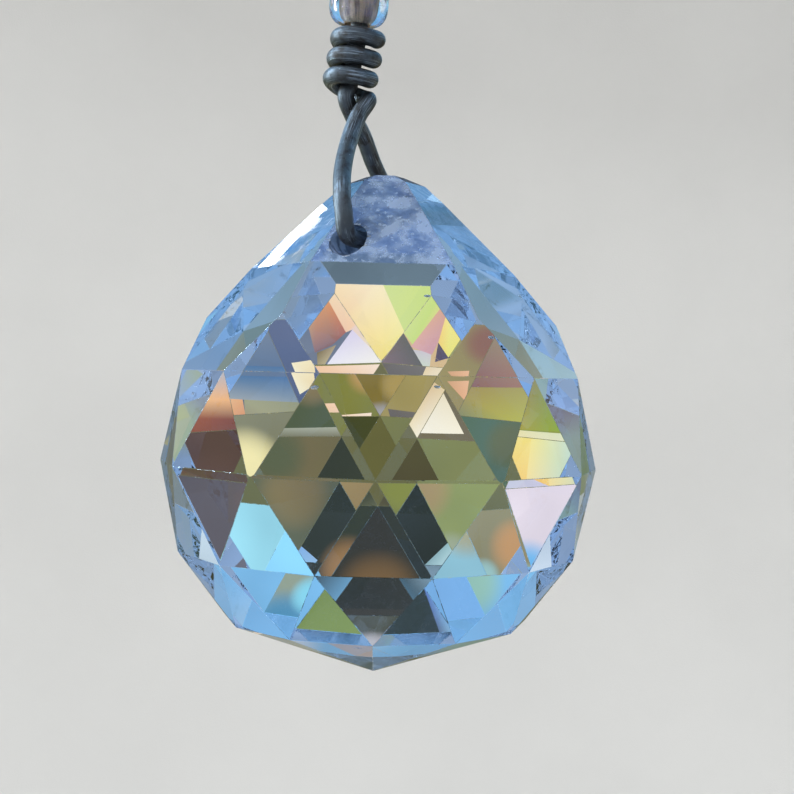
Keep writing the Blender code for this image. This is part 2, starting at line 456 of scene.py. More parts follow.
def hole_axis(settings):
    """(a point on the hole's axis, its direction out of the front mouth), in the row frame."""
    out = Vector((math.sin(settings.hole_turn), -math.cos(settings.hole_turn), 0.0))
    place = crystal_placement(settings)
    middle = place @ Vector((0.0, 0.0, settings.hole_height * BALL_RADIUS))
    return middle, place.to_3x3() @ out


def faceted_drop(settings):
    """The outside of the drop from the CAD solid, with the hole filled and a fine flat along every edge."""
    builder = bmesh.new()
    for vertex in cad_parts["crystal_drop"].data.vertices:
        builder.verts.new(vertex.co)
    bmesh.ops.remove_doubles(builder, verts=builder.verts, dist=WELD)
    hull = bmesh.ops.convex_hull(builder, input=builder.verts)
    spare = set(hull["geom_interior"]) | set(hull["geom_unused"])
    inside = [item for item in spare if isinstance(item, bmesh.types.BMVert)]
    bmesh.ops.delete(builder, geom=inside, context="VERTS")
    kept = {item for item in hull["geom"] if isinstance(item, bmesh.types.BMFace)}
    left_over = [face for face in builder.faces if face not in kept]
    bmesh.ops.delete(builder, geom=left_over, context="FACES")
    bmesh.ops.dissolve_limit(builder, angle_limit=SAME_FACET, verts=builder.verts, edges=builder.edges)
    bmesh.ops.recalc_face_normals(builder, faces=builder.faces)
    for face in builder.faces:
        if face.normal.z > CROWN_RISE and abs(face.normal.x) < CROWN_HALF_WIDTH:
            face.material_index = CLOUDY
    bmesh.ops.bevel(
        builder,
        geom=list(builder.edges),
        offset=settings.edge_width / 2,
        offset_type="OFFSET",
        segments=1,
        profile=0.5,
        affect="EDGES",
        clamp_overlap=True,
        material=EDGE,
    )
    return mesh_from("crystal_drop_finish", builder)


def closed_tube(builder, loops):
    """Faces between one loop of corners and the next, and a face over each end."""
    for lower, upper in zip(loops, loops[1:]):
        for index in range(len(lower)):
            after = (index + 1) % len(lower)
            builder.faces.new((lower[index], lower[after], upper[after], upper[index]))
    builder.faces.new(loops[0][::-1])
    builder.faces.new(loops[-1])


def drill(settings):
    """The round cutter of the hole, a little uneven along its length as a drill leaves it."""
    middle, direction = hole_axis(settings)
    builder = bmesh.new()
    loops = []
    for ring in range(DRILL_RINGS + 1):
        along = DRILL_LENGTH * (ring / DRILL_RINGS - 0.5)
        loop = []
        for side in range(DRILL_SIDES):
            angle = math.tau * side / DRILL_SIDES
            spot = Vector((math.cos(angle) * 3, math.sin(angle) * 3, along / MM * 2.5))
            radius = settings.hole_radius * (1.0 + DRILL_WANDER * noise.noise(spot))
            loop.append(builder.verts.new((radius * math.cos(angle), radius * math.sin(angle), along)))
        loops.append(loop)
    closed_tube(builder, loops)
    for face in builder.faces:
        face.material_index = GROUND
    place = Matrix.Translation(middle) @ direction.to_track_quat("Z", "X").to_matrix().to_4x4()
    bmesh.ops.transform(builder, matrix=place, verts=builder.verts)
    return mesh_from("drill", builder)


def flake(centre, radius, seed):
    """A small uneven lump: the shape of a chip knocked out of the glass."""
    builder = bmesh.new()
    bmesh.ops.create_icosphere(builder, subdivisions=2, radius=radius)
    for vertex in builder.verts:
        way = vertex.co.normalized()
        size = 1.0 + 0.6 * noise.noise(way * 2.2 + Vector((seed * 7.3, 0.0, 0.0)))
        lump = Vector([part * stretch for part, stretch in zip(way, FLAKE_SHAPE)])
        vertex.co = lump * radius * size + centre
    for face in builder.faces:
        face.material_index = CHIPPED
    return mesh_from("flake", builder)


def surface_spot(crystal, azimuth, elevation):
    """Where a line from the ball's centre leaves the crystal."""
    way = aim(azimuth, elevation)
    far = BALL_CENTRE + way * 2 * BALL_RADIUS
    hit, spot, normal, index = crystal.ray_cast(far, -way)
    if not hit:
        raise RuntimeError("the line for a chip misses the crystal")
    return spot


def mouth_spots(crystal, settings):
    """Places round both mouths of the hole, uneven in size."""
    middle, direction = hole_axis(settings)
    across = direction.cross(Vector((0.0, 0.0, 1.0))).normalized()
    up = across.cross(direction)
    spots = []
    for side in (1, -1):
        for index in range(MOUTH_CHIPS):
            astray = 0.4 * noise.noise(Vector((index * 3.1, side * 5.0, 0.0)))
            angle = math.tau * (index + astray) / MOUTH_CHIPS
            rim = (across * math.cos(angle) + up * math.sin(angle)) * settings.hole_radius
            start = middle + rim + direction * side * 2 * BALL_RADIUS
            hit, spot, normal, face = crystal.ray_cast(start, -direction * side)
            if hit:
                size = 0.16 + 0.14 * abs(noise.noise(Vector((index * 1.7, side * 2.0, 4.0))))
                spots.append((spot, size * MM))
    return spots


def subtract(crystal, cutter_data):
    """Cuts a closed mesh out of the crystal, for good."""
    cutter = link_piece("cutter", cutter_data)
    cut = crystal.modifiers.new("cut", "BOOLEAN")
    cut.operation = "DIFFERENCE"
    cut.solver = "EXACT"
    cut.object = cutter
    graph = bpy.context.evaluated_depsgraph_get()
    graph.update()
    data = bpy.data.meshes.new_from_object(crystal.evaluated_get(graph))
    crystal.modifiers.clear()
    crystal.data = data
    bpy.data.objects.remove(cutter)


def cut_hole_and_chips(crystal, settings):
    spots = [(surface_spot(crystal, azimuth, elevation), size * MM) for azimuth, elevation, size in CHIPS]
    spots += mouth_spots(crystal, settings)
    subtract(crystal, drill(settings))
    for seed, (spot, radius) in enumerate(spots):
        subtract(crystal, flake(spot, radius, seed))
    crystal.data.set_sharp_from_angle(angle=SHARP_GLASS)
    for face in crystal.data.polygons:
        face.use_smooth = face.material_index == GROUND


def clear_crystal_material(settings):
    """Polished crystal with a breath of haze, a few hairlines and some specks."""
    material, tree, shader = new_material(
        "clear_crystal",
        Base_Color=(*settings.tint, 1.0),
        IOR=settings.ior,
        Transmission_Weight=1.0,
    )
    place = in_millimetres(tree)
    height = add_node(tree, "ShaderNodeSeparateXYZ", {"Vector": place}).outputs["Z"]
    crown = soft_step(tree, height, settings.haze_foot / MM, settings.haze_foot / MM + 4.0)
    cloud = effect(tree, "Mottle", place, Size=1.6, Low=0.35, High=0.70)
    lines = effect(tree, "Hairlines", place, Size=4.2, Width=0.0016)
    specks = effect(tree, "Nicks", place, Spacing=2.4, Radius=0.04)
    marks = calculate(tree, "MAXIMUM", lines, specks)
    haze = calculate(tree, "MULTIPLY", cloud, calculate(tree, "MULTIPLY_ADD", crown, 0.05, 0.008))
    tree.links.new(calculate(tree, "MULTIPLY_ADD", marks, 0.10, haze), shader.inputs["Roughness"])
    return material


def cloudy_crystal_material(settings):
    """The facets round the drilled hole, clouded by dust, fingers and the rubbing of the wire. Their navy and
    sky blue are a painted reflection of the surroundings seen in them.
    """
    material, tree, shader = new_material(
        "cloudy_crystal",
        IOR=settings.ior,
        Transmission_Weight=0.80,
    )
    place = in_millimetres(tree)
    cloud = effect(tree, "Mottle", place, Size=1.5, Low=0.38, High=0.62)
    streaks = effect(tree, "Mottle", place, Size=0.4, Low=0.52, High=0.66)
    dust_and_painted_sky = calculate(tree, "MAXIMUM", cloud, streaks)
    # painted reflection: the rubbed patches get navy and the dusty ones sky blue, standing in for the
    # surroundings seen in the facets
    color = blend(tree, dust_and_painted_sky, (*settings.rubbed, 1.0), (*settings.dust_and_painted_sky, 1.0))
    tree.links.new(color, shader.inputs["Base Color"])
    tree.links.new(calculate(tree, "MULTIPLY_ADD", dust_and_painted_sky, 0.22, 0.10), shader.inputs["Roughness"])
    return material


def facet_edge_material(settings):
    """The narrow flats between facets, less polished than they are and nibbled in places."""
    material, tree, shader = new_material(
        "facet_edge",
        Base_Color=(1.0, 1.0, 1.0, 1.0),
        IOR=settings.ior,
        Transmission_Weight=1.0,
    )
    place = in_millimetres(tree)
    dull = effect(tree, "Mottle", place, Size=1.1, Low=0.42, High=0.62)
    nibbles = effect(tree, "Nicks", place, Spacing=0.55, Radius=0.14)
    roughness = calculate(tree, "MULTIPLY_ADD", dull, 0.24, 0.07)
    worn = calculate(tree, "MULTIPLY_ADD", nibbles, 0.35, roughness)
    tree.links.new(worn, shader.inputs["Roughness"])
    emboss(tree, shader, calculate(tree, "MAXIMUM", nibbles, dull), -0.012 * MM)
    return material


def ground_glass_material(settings):
    """The drilled hole: ground glass with drill rings and darker blotches, grey with a painted blue
    reflection of the sky.
    """
    material, tree, shader = new_material(
        "ground_glass",
        IOR=settings.ior,
        Transmission_Weight=0.55,
    )
    place = in_millimetres(tree)
    middle, direction = hole_axis(settings)
    inputs = {0: place, 1: direction}
    along = add_node(tree, "ShaderNodeVectorMath", inputs, operation="DOT_PRODUCT").outputs["Value"]
    rings = add_node(
        tree,
        "ShaderNodeTexNoise",
        {"W": along, "Scale": 5.0, "Detail": 3.0, "Roughness": 0.7},
        noise_dimensions="1D",
    ).outputs["Fac"]
    blotches = effect(tree, "Mottle", place, Size=0.9, Low=0.44, High=0.60)
    grit = effect(tree, "Mottle", place, Size=0.08, Low=0.30, High=0.70)
    # painted reflection: the ground glass's grey is tinted blue for the sky seen in it
    color = blend(tree, blotches, (*settings.bore_grey_and_painted_sky, 1.0), (*settings.bore_shadow, 1.0))
    tree.links.new(color, shader.inputs["Base Color"])
    tree.links.new(calculate(tree, "MULTIPLY_ADD", grit, 0.25, 0.38), shader.inputs["Roughness"])
    emboss(tree, shader, calculate(tree, "ADD", rings, calculate(tree, "MULTIPLY", grit, 0.4)), 0.025 * MM)
    return material


def chipped_glass_material(settings):
    """Fresh broken glass inside the chips, rippled like a shell."""
    material, tree, shader = new_material(
        "chipped_glass",
        Base_Color=(0.95, 0.97, 1.0, 1.0),
        IOR=settings.ior,
        Transmission_Weight=0.85,
    )
    place = in_millimetres(tree)
    frost = effect(tree, "Mottle", place, Size=0.14, Low=0.35, High=0.65)
    ripples = add_node(
        tree,
        "ShaderNodeTexWave",
        {"Vector": place, "Scale": 2.2, "Distortion": 3.0, "Detail": 2.0},
        wave_type="RINGS",
    ).outputs["Fac"]
    tree.links.new(calculate(tree, "MULTIPLY_ADD", frost, 0.35, 0.15), shader.inputs["Roughness"])
    emboss(tree, shader, calculate(tree, "ADD", ripples, frost), 0.02 * MM)
    return material


class SUNCATCHER_OT_crystal(bpy.types.Operator):
    """Cut the crystal drop with its facets, fine edges and drilled hole"""

    bl_idname = "suncatcher.crystal"
    bl_label = "Crystal drop"

    def execute(self, context):
        settings = context.scene.suncatcher_crystal
        data = faceted_drop(settings)
        crystal = link_piece(
            "crystal",
            data,
            clear_crystal_material(settings),
            facet_edge_material(settings),
            ground_glass_material(settings),
            chipped_glass_material(settings),
            cloudy_crystal_material(settings),
        )
        cut_hole_and_chips(crystal, settings)
        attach(crystal, "root")
        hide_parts("crystal_drop")
        return {"FINISHED"}


# ---------------------------------------------------------------- wire

COIL_RADIUS = 1.27 * MM  # middle of the wrapped wire, round the stem
COIL_PITCH = 1.35 * MM
COIL_TILT = 0.3  # how far a turn drops for each unit that it runs to the right
LOWER_TURNS = 3.0
UPPER_TURNS = 2.2
LOWER_START = math.radians(20.0)  # where each coil starts at its foot, from the right towards the back
UPPER_START = math.radians(228.0)
LOWER_COIL_FOOT = Vector((-2.05, 0.0, 25.4)) * MM  # above the centre of the ball, as all of the wire is
COIL_DRIFT = 0.75 * MM  # each coil leans to the right by this over its height
POINTS_A_TURN = 12
POINTS_A_SPAN = 12
BEND_RADIUS = 1.2 * MM
HOLE_CLEARANCE = 0.3 * MM  # left over the wire in the hole
BEAD_BOTTOM = 30.0 * MM
BEAD_X = -1.3 * MM
BEAD_LEAN = math.radians(5.0)
EYE_RADIUS = 2.2 * MM
EYE_ARC = (226.0, -36.0)  # degrees from +X towards +Z, from the stem round to the upper coil
EYE_POINTS = 15
WIRE_STEP = 0.22 * MM  # between the rings of the finished wire
END_ROUND = 0.12 * MM  # radius of the rounded edge at each cut end
ARC_STOPS = (0, 30, 60, 90)  # degrees along a quarter turn: a bend of the wire, or the edge of a cut end


def coil_points(foot, head, start_turn, turns):
    """A right-handed coil that climbs round the line from foot to head."""
    count = round(turns * POINTS_A_TURN)
    points = []
    for index in range(count + 1):
        turn = start_turn + math.tau * turns * index / count
        across = COIL_RADIUS * math.cos(turn)
        offset = Vector((across, COIL_RADIUS * math.sin(turn), -COIL_TILT * across))
        points.append(foot.lerp(head, index / count) + offset)
    return points


def eye_points(wire_radius):
    """The eye's arc in the XZ plane, its inside top at the origin's height."""
    centre = Vector((0.0, 0.0, HANG_HEIGHT + wire_radius - EYE_RADIUS))
    start, end = EYE_ARC
    points = []
    for index in range(EYE_POINTS):
        angle = math.radians(start + (end - start) * index / (EYE_POINTS - 1))
        points.append(centre + Vector((math.cos(angle), 0.0, math.sin(angle))) * EYE_RADIUS)
    return points


def millimetres(*rows):
    return [Vector(row) * MM for row in rows]


def hole_points(crystal, wire_radius):
    """The wire's way through the hole, near its top, with a round bend up outside each mouth."""
    mouth = 6.4 * MM  # from the crystal's axis out to where the bend starts
    rest = crystal.hole_radius - wire_radius - HOLE_CLEARANCE
    half = [(mouth / 2, 0.0)]
    for degrees in ARC_STOPS:
        angle = math.radians(degrees)
        half.append((mouth + BEND_RADIUS * math.sin(angle), BEND_RADIUS * (1.0 - math.cos(angle))))
    section = half[::-1] + [(-out, up) for out, up in half]
    middle, direction = hole_axis(crystal)
    up_axis = crystal_placement(crystal).to_3x3() @ Vector((0.0, 0.0, 1.0))
    return [middle - BALL_CENTRE + direction * out + up_axis * (rest + up) for out, up in section]


def wire_route(crystal, bead, wire_radius):
    """Points from the tail of the lower coil to the tail of the upper one, above the centre of the ball."""
    lower_foot = LOWER_COIL_FOOT
    lower_head = lower_foot + Vector((COIL_DRIFT, 0.0, COIL_PITCH * LOWER_TURNS))
    lower_coil = coil_points(lower_foot, lower_head, LOWER_START, LOWER_TURNS)
    front_strand = millimetres(
        (-0.68, -0.25, 24.8),
        (-1.3, -0.75, 23.75),
        (-1.95, -2.3, 21.7),
        (-2.3, -4.6, 19.5),
        (-2.3, -6.7, 17.5),
    )
    back_strand = millimetres(
        (2.1, 6.9, 17.4),
        (0.6, 5.6, 19.5),
        (-0.35, 3.9, 21.2),
        (-1.05, 2.0, 22.8),
        (-1.8, 0.65, 24.05),
        (-2.2, -0.05, 25.1),
    )
    upper_foot = Vector((-1.12 * MM, 0.0, BEAD_BOTTOM + bead.height + 2 * wire_radius))
    upper_head = upper_foot + Vector((COIL_DRIFT, 0.0, COIL_PITCH * UPPER_TURNS))
    upper_coil = coil_points(upper_foot, upper_head, UPPER_START, UPPER_TURNS)
    stem = [lower_foot.lerp(lower_head, share) for share in (0.12, 0.4, 0.7, 1.0)]
    stem.append(Vector((BEAD_X, 0.0, BEAD_BOTTOM + bead.height / 2)))
    stem += [upper_foot.lerp(upper_head, share) for share in (-0.1, 0.3, 0.7, 1.15)]
    route = lower_coil[::-1] + front_strand + hole_points(crystal, wire_radius) + back_strand + stem
    return route + eye_points(wire_radius) + upper_coil[::-1]


def smooth_route(points, spacing):
    """Reads points at an even spacing from a smooth curve through the given ones."""
    dense = [points[0]]
    last = len(points) - 1
    for index in range(last):
        before, start = points[max(index - 1, 0)], points[index]
        end, after = points[index + 1], points[min(index + 2, last)]
        reach = (end - start).length / 3
        leave = (end - before).normalized() * reach
        arrive = (after - start).normalized() * reach
        span = interpolate_bezier(start, start + leave, end - arrive, end, POINTS_A_SPAN + 1)
        dense += span[1:]
    lengths = [0.0]
    for start, end in zip(dense, dense[1:]):
        lengths.append(lengths[-1] + (end - start).length)
    count = round(lengths[-1] / spacing)
    even = []
    place = 0
    for index in range(count + 1):
        wanted = lengths[-1] * index / count
        while place < len(dense) - 2 and lengths[place + 1] < wanted:
            place += 1
        share = (wanted - lengths[place]) / (lengths[place + 1] - lengths[place])
        even.append(dense[place].lerp(dense[place + 1], share))
    return even


def steady_frames(points):
    """(point, side, up, tangent) along the route, the side turned as little as possible on the way."""
    tangents = []
    for index in range(len(points)):
        before = points[max(index - 1, 0)]
        after = points[min(index + 1, len(points) - 1)]
        tangents.append((after - before).normalized())
    side = tangents[0].orthogonal().normalized()
    frames = []
    for point, tangent in zip(points, tangents):
        side = (side - tangent * side.dot(tangent)).normalized()
        frames.append((point, side, tangent.cross(side), tangent))
    return frames


def tube(points, radius, sides):
    """A closed round tube with softly rounded cut ends.

    Its grain attribute holds, for each vertex, the way round the wire (x and y) and the length along it
    in mm (z).
    """
    builder = bmesh.new()
    grain = builder.verts.layers.float_vector.new("grain")
    frames = steady_frames(points)
    rings = []

    def add_loop(place, ring_radius, at, along):
        point, side, up, tangent = at
        loop = []
        for index in range(sides):
            angle = math.tau * index / sides
            round_way = side * math.cos(angle) + up * math.sin(angle)
            vertex = builder.verts.new(place + round_way * ring_radius)
            vertex[grain] = (math.cos(angle), math.sin(angle), along)
            loop.append(vertex)
        rings.append(loop)

    def add_end(at, inward, along, angles):
        for degrees in angles:
            angle = math.radians(degrees)
            place = at[0] + inward * END_ROUND * (1.0 - math.sin(angle))
            add_loop(place, radius - END_ROUND * (1.0 - math.cos(angle)), at, along)

    first, last = frames[0], frames[-1]
    total = WIRE_STEP * (len(frames) - 1)
    add_end(first, first[3], 0.0, ARC_STOPS[::-1])
    for index, at in enumerate(frames[1:-1], start=1):
        add_loop(at[0], radius, at, index * WIRE_STEP / MM)
    add_end(last, -last[3], total / MM, ARC_STOPS)
    closed_tube(builder, rings)
    return mesh_from("hanging_wire_finish", builder)


def blackened_steel_material(settings):
    """Dark drawn wire: lines along its length, brown stains, and bright metal where it has rubbed."""
    material, tree, shader = new_material(
        "blackened_steel",
        Metallic=1.0,
        Coat_Weight=0.3,
        Coat_Roughness=0.28,
    )
    place = in_millimetres(tree)
    grain = add_node(tree, "ShaderNodeAttribute", attribute_name="grain").outputs["Vector"]
    drawn = add_node(tree, "ShaderNodeVectorMath", {0: grain, 1: (7.0, 7.0, 0.35)}, operation="MULTIPLY")
    inputs = {"Vector": drawn.outputs["Vector"], "Scale": 1.6, "Detail": 5.0, "Roughness": 0.65}
    lines = add_node(tree, "ShaderNodeTexNoise", inputs).outputs["Fac"]
    stains = effect(tree, "Mottle", place, Size=0.9, Low=0.46, High=0.66)
    rubbed = effect(tree, "Mottle", place, Size=2.4, Low=0.42, High=0.62)
    grit = effect(tree, "Mottle", place, Size=0.12, Low=0.35, High=0.75)
    nicks = effect(tree, "Nicks", place, Spacing=0.8, Radius=0.11)
    streaks = calculate(tree, "MULTIPLY", soft_step(tree, lines, 0.50, 0.66), rubbed)
    bare = calculate(tree, "MAXIMUM", streaks, calculate(tree, "MULTIPLY", nicks, 0.8))
    dark = blend(tree, stains, (*settings.metal, 1.0), (*settings.stain, 1.0))
    tree.links.new(blend(tree, bare, dark, (*settings.worn, 1.0)), shader.inputs["Base Color"])
    dull = calculate(tree, "MULTIPLY_ADD", stains, 0.14, 0.40)
    gritty = calculate(tree, "MULTIPLY_ADD", grit, 0.10, dull)
    tree.links.new(calculate(tree, "MULTIPLY_ADD", bare, -0.12, gritty), shader.inputs["Roughness"])
    ridges = calculate(tree, "MULTIPLY_ADD", grit, 0.25, lines)
    emboss(tree, shader, calculate(tree, "SUBTRACT", ridges, nicks), 0.035 * MM)
    return material


class SUNCATCHER_OT_wire(bpy.types.Operator):
    """Wind the dark wire through the crystal, up into its coils and round into the eye"""

    bl_idname = "suncatcher.wire"
    bl_label = "Hanging wire"

    def execute(self, context):
        scene = context.scene
        settings = scene.suncatcher_wire
        route = wire_route(scene.suncatcher_crystal, scene.suncatcher_bead, settings.radius)
        points = [point + BALL_CENTRE for point in smooth_route(route, WIRE_STEP)]
        data = tube(points, settings.radius, settings.sides)
        wire = link_piece("wire", data, blackened_steel_material(settings))
        data.shade_smooth()
        data.set_sharp_from_angle(angle=SHARP_ROUND)
        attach(wire, "root")
        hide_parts("hanging_wire")
        return {"FINISHED"}


# ---------------------------------------------------------------- bead

BEAD_FULLNESS = 2.6  # 2 is an ellipse, and more is squarer in section
BEAD_SIDES = 72
BEAD_STEPS = 28  # rings from one mouth of the bore to the other
BORE_STEPS = 6


def bead_profile(settings):
    """(radius, height) round the whole half section: up the outside, then down the bore."""
    wall = settings.radius - settings.bore_radius
    half = settings.height / 2
    points = []
    for index in range(BEAD_STEPS + 1):
        angle = math.pi * (index / BEAD_STEPS - 0.5)
        out = abs(math.cos(angle)) ** (2 / BEAD_FULLNESS)
        up = math.copysign(abs(math.sin(angle)) ** (2 / BEAD_FULLNESS), angle)
        points.append((settings.bore_radius + wall * out, half * up))
    for index in range(1, BORE_STEPS):
        points.append((settings.bore_radius, half * (1.0 - 2.0 * index / BORE_STEPS)))
    return points


def turned_bead(settings):
    builder = bmesh.new()
    rings = []
    for radius, height in bead_profile(settings):
        ring = []
        for index in range(BEAD_SIDES):
            turn = index * math.tau / BEAD_SIDES
            ring.append(builder.verts.new((radius * math.cos(turn), radius * math.sin(turn), height)))
        rings.append(ring)
    for step, (lower, upper) in enumerate(zip(rings, rings[1:] + rings[:1])):
        for index in range(BEAD_SIDES):
            after = (index + 1) % BEAD_SIDES
            face = builder.faces.new((lower[index], lower[after], upper[after], upper[index]))
            face.material_index = int(step >= BEAD_STEPS)
    middle = BALL_CENTRE + Vector((BEAD_X, 0.0, BEAD_BOTTOM + settings.height / 2))
    placement = Matrix.Translation(middle) @ Matrix.Rotation(BEAD_LEAN, 4, "Y")
    bmesh.ops.transform(builder, matrix=placement, verts=builder.verts)
    return mesh_from("glass_bead_finish", builder)


def bead_glass_material(settings):
    """Clear glass with a thin pearly film, lightly rubbed."""
    material, tree, shader = new_material(
        "bead_glass",
        Base_Color=(*settings.glass, 1.0),
        IOR=1.5,
        Transmission_Weight=1.0,
        Thin_Film_Thickness=340.0,
        Thin_Film_IOR=1.7,
    )
    place = in_millimetres(tree)
    haze = effect(tree, "Mottle", place, Size=0.9, Low=0.45, High=0.75)
    lines = effect(tree, "Hairlines", place, Size=1.0, Width=0.006)
    specks = effect(tree, "Nicks", place, Spacing=0.7, Radius=0.04)
    marks = calculate(tree, "MAXIMUM", lines, specks)
    roughness = calculate(tree, "MULTIPLY_ADD", marks, 0.20, calculate(tree, "MULTIPLY", haze, 0.05))
    tree.links.new(roughness, shader.inputs["Roughness"])
    emboss(tree, shader, calculate(tree, "SUBTRACT", haze, marks), 0.004 * MM)
    return material


def bead_bore_material(settings):
    """The rough wall of the bead's bore, brown with dust and metal from the wire."""
    material, tree, shader = new_material("bead_bore", IOR=1.5, Transmission_Weight=0.2)
    place = in_millimetres(tree)
    streaked = add_node(tree, "ShaderNodeVectorMath", {0: place, 1: (3.0, 3.0, 0.5)}, operation="MULTIPLY")
    streaks = effect(tree, "Mottle", streaked.outputs["Vector"], Size=1.0, Low=0.40, High=0.62)
    grit = effect(tree, "Mottle", place, Size=0.1, Low=0.3, High=0.7)
    color = blend(tree, streaks, (*settings.bore, 1.0), (*settings.bore_shadow, 1.0))
    tree.links.new(color, shader.inputs["Base Color"])
    tree.links.new(calculate(tree, "MULTIPLY_ADD", grit, 0.3, 0.35), shader.inputs["Roughness"])
    emboss(tree, shader, grit, 0.02 * MM)
    return material


class SUNCATCHER_OT_bead(bpy.types.Operator):
    """Turn the round glass bead that sits between the two coils"""

    bl_idname = "suncatcher.bead"
    bl_label = "Glass bead"

    def execute(self, context):
        settings = context.scene.suncatcher_bead
        data = turned_bead(settings)
        bead = link_piece("bead", data, bead_glass_material(settings), bead_bore_material(settings))
        data.shade_smooth()
        data.set_sharp_from_angle(angle=SHARP_ROUND)
        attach(bead, "root")
        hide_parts("glass_bead")
        return {"FINISHED"}


# ---------------------------------------------------------------- stage


class Glow(NamedTuple):
    """A soft round patch of colour in the surroundings, as the crystal sees them.

    Azimuth is 0 straight behind the suncatcher and grows to the right. Angles are in degrees, and colours
    are red, green and blue from 0 to 255, as on a paint chart.
    """

    azimuth: float
    elevation: float
    core: float
    edge: float
    color: tuple


class Card(NamedTuple):
    """A sharp-edged card of colour, with a colour at each corner: azimuth, elevation, colour."""

    name: str
    corners: tuple


BASE_STOPS = (
    # elevation in degrees, colour
    (-90, (84, 104, 104)),
    (-67, (84, 104, 104)),
    (-60, (128, 146, 158)),
    (-42, (130, 152, 172)),
    (-30, (115, 130, 120)),
    (-20, (120, 118, 80)),
    (-4, (98, 98, 58)),
    (6, (112, 118, 78)),
    (14, (125, 190, 235)),
    (30, (128, 200, 255)),
    (60, (118, 178, 240)),
    (68, (90, 108, 106)),
    (90, (84, 100, 98)),
)

FAR_GLOWS = (
    # behind the camera and to the sides: shade and sky
    Glow(180, 5, 55, 110, (138, 166, 205)),
    Glow(-46, 17, 6, 13, (222, 238, 252)),
    Glow(46, 17, 6, 13, (214, 234, 252)),
    Glow(178, -57, 9, 15, (58, 78, 72)),
    Glow(-60, -8, 14, 22, (115, 145, 90)),
    Glow(60, -2, 14, 20, (118, 116, 112)),
    Glow(-53, -25, 8, 14, (150, 185, 185)),
    Glow(53, -27, 10, 16, (105, 132, 173)),
)

